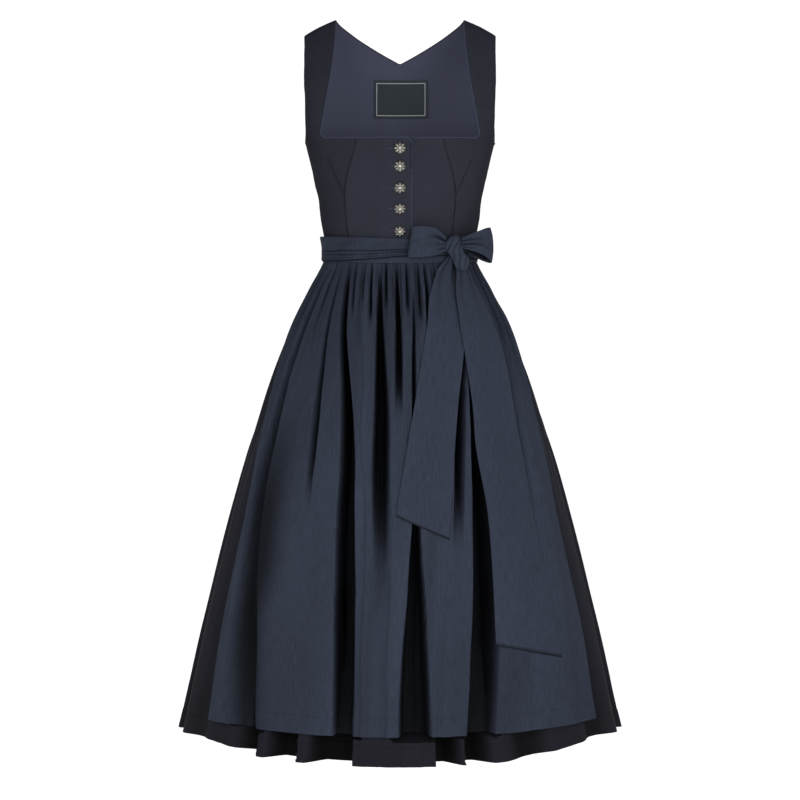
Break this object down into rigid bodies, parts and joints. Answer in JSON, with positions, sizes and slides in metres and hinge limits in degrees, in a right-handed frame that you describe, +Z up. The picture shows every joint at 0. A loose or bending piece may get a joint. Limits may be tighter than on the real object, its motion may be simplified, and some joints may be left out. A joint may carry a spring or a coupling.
{
  "type": "dirndl",
  "caption": "Knee-length dress with a square neckline, a buttoned fitted bodice, a gathered skirt and an apron tied with a bow.",
  "frame": {"origin": "midway between the shoulder seams, where the wearer's shoulders carry the dress", "axes": "+X to the wearer's left, -Y to the front, +Z up"},
  "size_m": [0.7062, 0.5819, 1.139],
  "materials": {
    "bodice_cloth": "matte woven near-black navy cloth",
    "lining_cloth": "smooth navy lining",
    "label_cloth": "woven label, bare inside a plain border",
    "piping_cloth": "satin navy piping",
    "button_metal": "antique silver with a raised flower",
    "skirt_cloth": "fine black-navy cloth with a slight sheen",
    "apron_cloth": "navy cloth with a fine upright slub"
  },
  "bodies": {
    "root": {"bodice_front_right": "bodice_cloth", "bodice_front_left": "bodice_cloth", "bodice_side_right": "bodice_cloth", "bodice_side_left": "bodice_cloth", "bodice_back": "bodice_cloth", "back_lining": "lining_cloth", "neck_label": "label_cloth", "piping_right": "piping_cloth", "piping_left": "piping_cloth", "button_1": "button_metal", "button_2": "button_metal", "button_3": "button_metal", "button_4": "button_metal", "button_5": "button_metal", "skirt_front": "skirt_cloth", "skirt_side_left": "skirt_cloth", "skirt_back": "skirt_cloth", "skirt_side_right": "skirt_cloth", "apron_panel": "apron_cloth", "apron_band": "apron_cloth", "tie_wrap": "apron_cloth", "bow_knot": "apron_cloth", "bow_loop_front": "apron_cloth", "bow_loop_side": "apron_cloth", "bow_tail_short": "apron_cloth", "bow_tail_long": "apron_cloth"}
  },
  "joints": []
}
